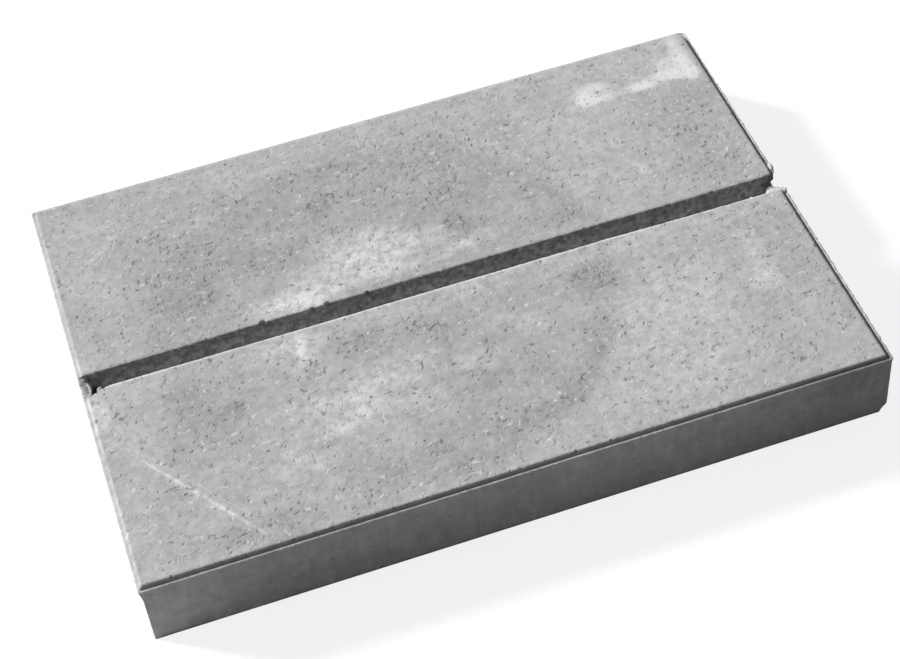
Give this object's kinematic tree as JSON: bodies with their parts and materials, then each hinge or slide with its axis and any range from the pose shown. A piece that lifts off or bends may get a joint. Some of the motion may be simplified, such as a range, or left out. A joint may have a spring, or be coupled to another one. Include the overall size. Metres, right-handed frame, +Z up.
{
  "type": "concrete coping slab",
  "caption": "Flat rectangular pressed concrete coping slab with a rounded top edge and ledge and a splitting groove along its middle.",
  "frame": {"origin": "middle of the slab's underside", "axes": "+X along the slab's length and its groove, +Y across it, +Z up out of the grooved face"},
  "size_m": [0.5, 0.35, 0.054],
  "materials": {
    "concrete": "matte"
  },
  "bodies": {
    "root": {"coping_slab": "concrete"}
  },
  "joints": []
}
